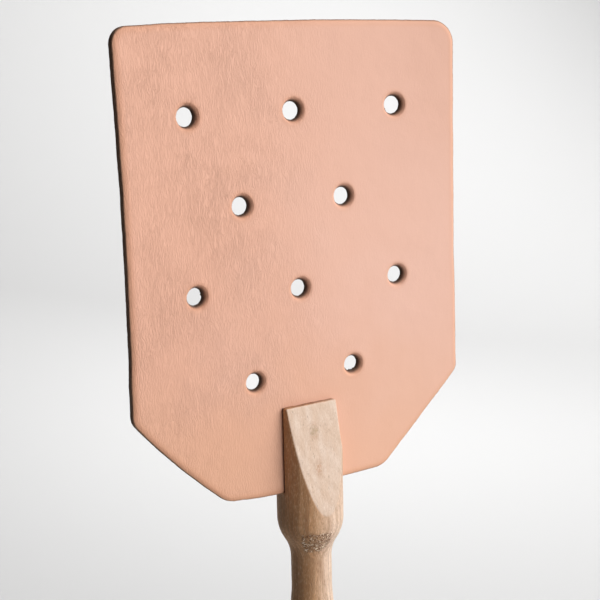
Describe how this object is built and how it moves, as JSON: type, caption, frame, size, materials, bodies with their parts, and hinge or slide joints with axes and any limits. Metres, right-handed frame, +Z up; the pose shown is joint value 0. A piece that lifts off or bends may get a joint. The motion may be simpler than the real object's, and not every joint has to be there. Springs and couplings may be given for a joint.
{
  "type": "fly swatter",
  "caption": "Leather fly swatter: a punched leather flap pegged into the sawn, bevelled fork of a turned wooden handle with a hanging hole.",
  "frame": {"origin": "centre of the hanging hole, on the handle's axis", "axes": "+Z up the handle towards the flap, X across the flap, -Y out of the flap's front"},
  "size_m": [0.115, 0.0206, 0.4838],
  "materials": {
    "handle_wood": "sanded, unfinished",
    "peg_wood": "end grain sanded flush",
    "leather": "natural vegetable-tanned, matte"
  },
  "bodies": {
    "handle_body": {"handle": "handle_wood", "upper_peg": "peg_wood", "lower_peg": "peg_wood", "leather_tab": "leather"},
    "flap_body": {"leather_blade": "leather"}
  },
  "joints": [
    {"name": "flap_bend", "type": "hinge", "parent": "handle_body", "child": "flap_body", "pos_m": [0, 0.00008, 0.371], "axis": [1, 0, 0], "range_deg": [-25, 25], "stiffness_Nm_per_rad": 0.3}
  ]
}
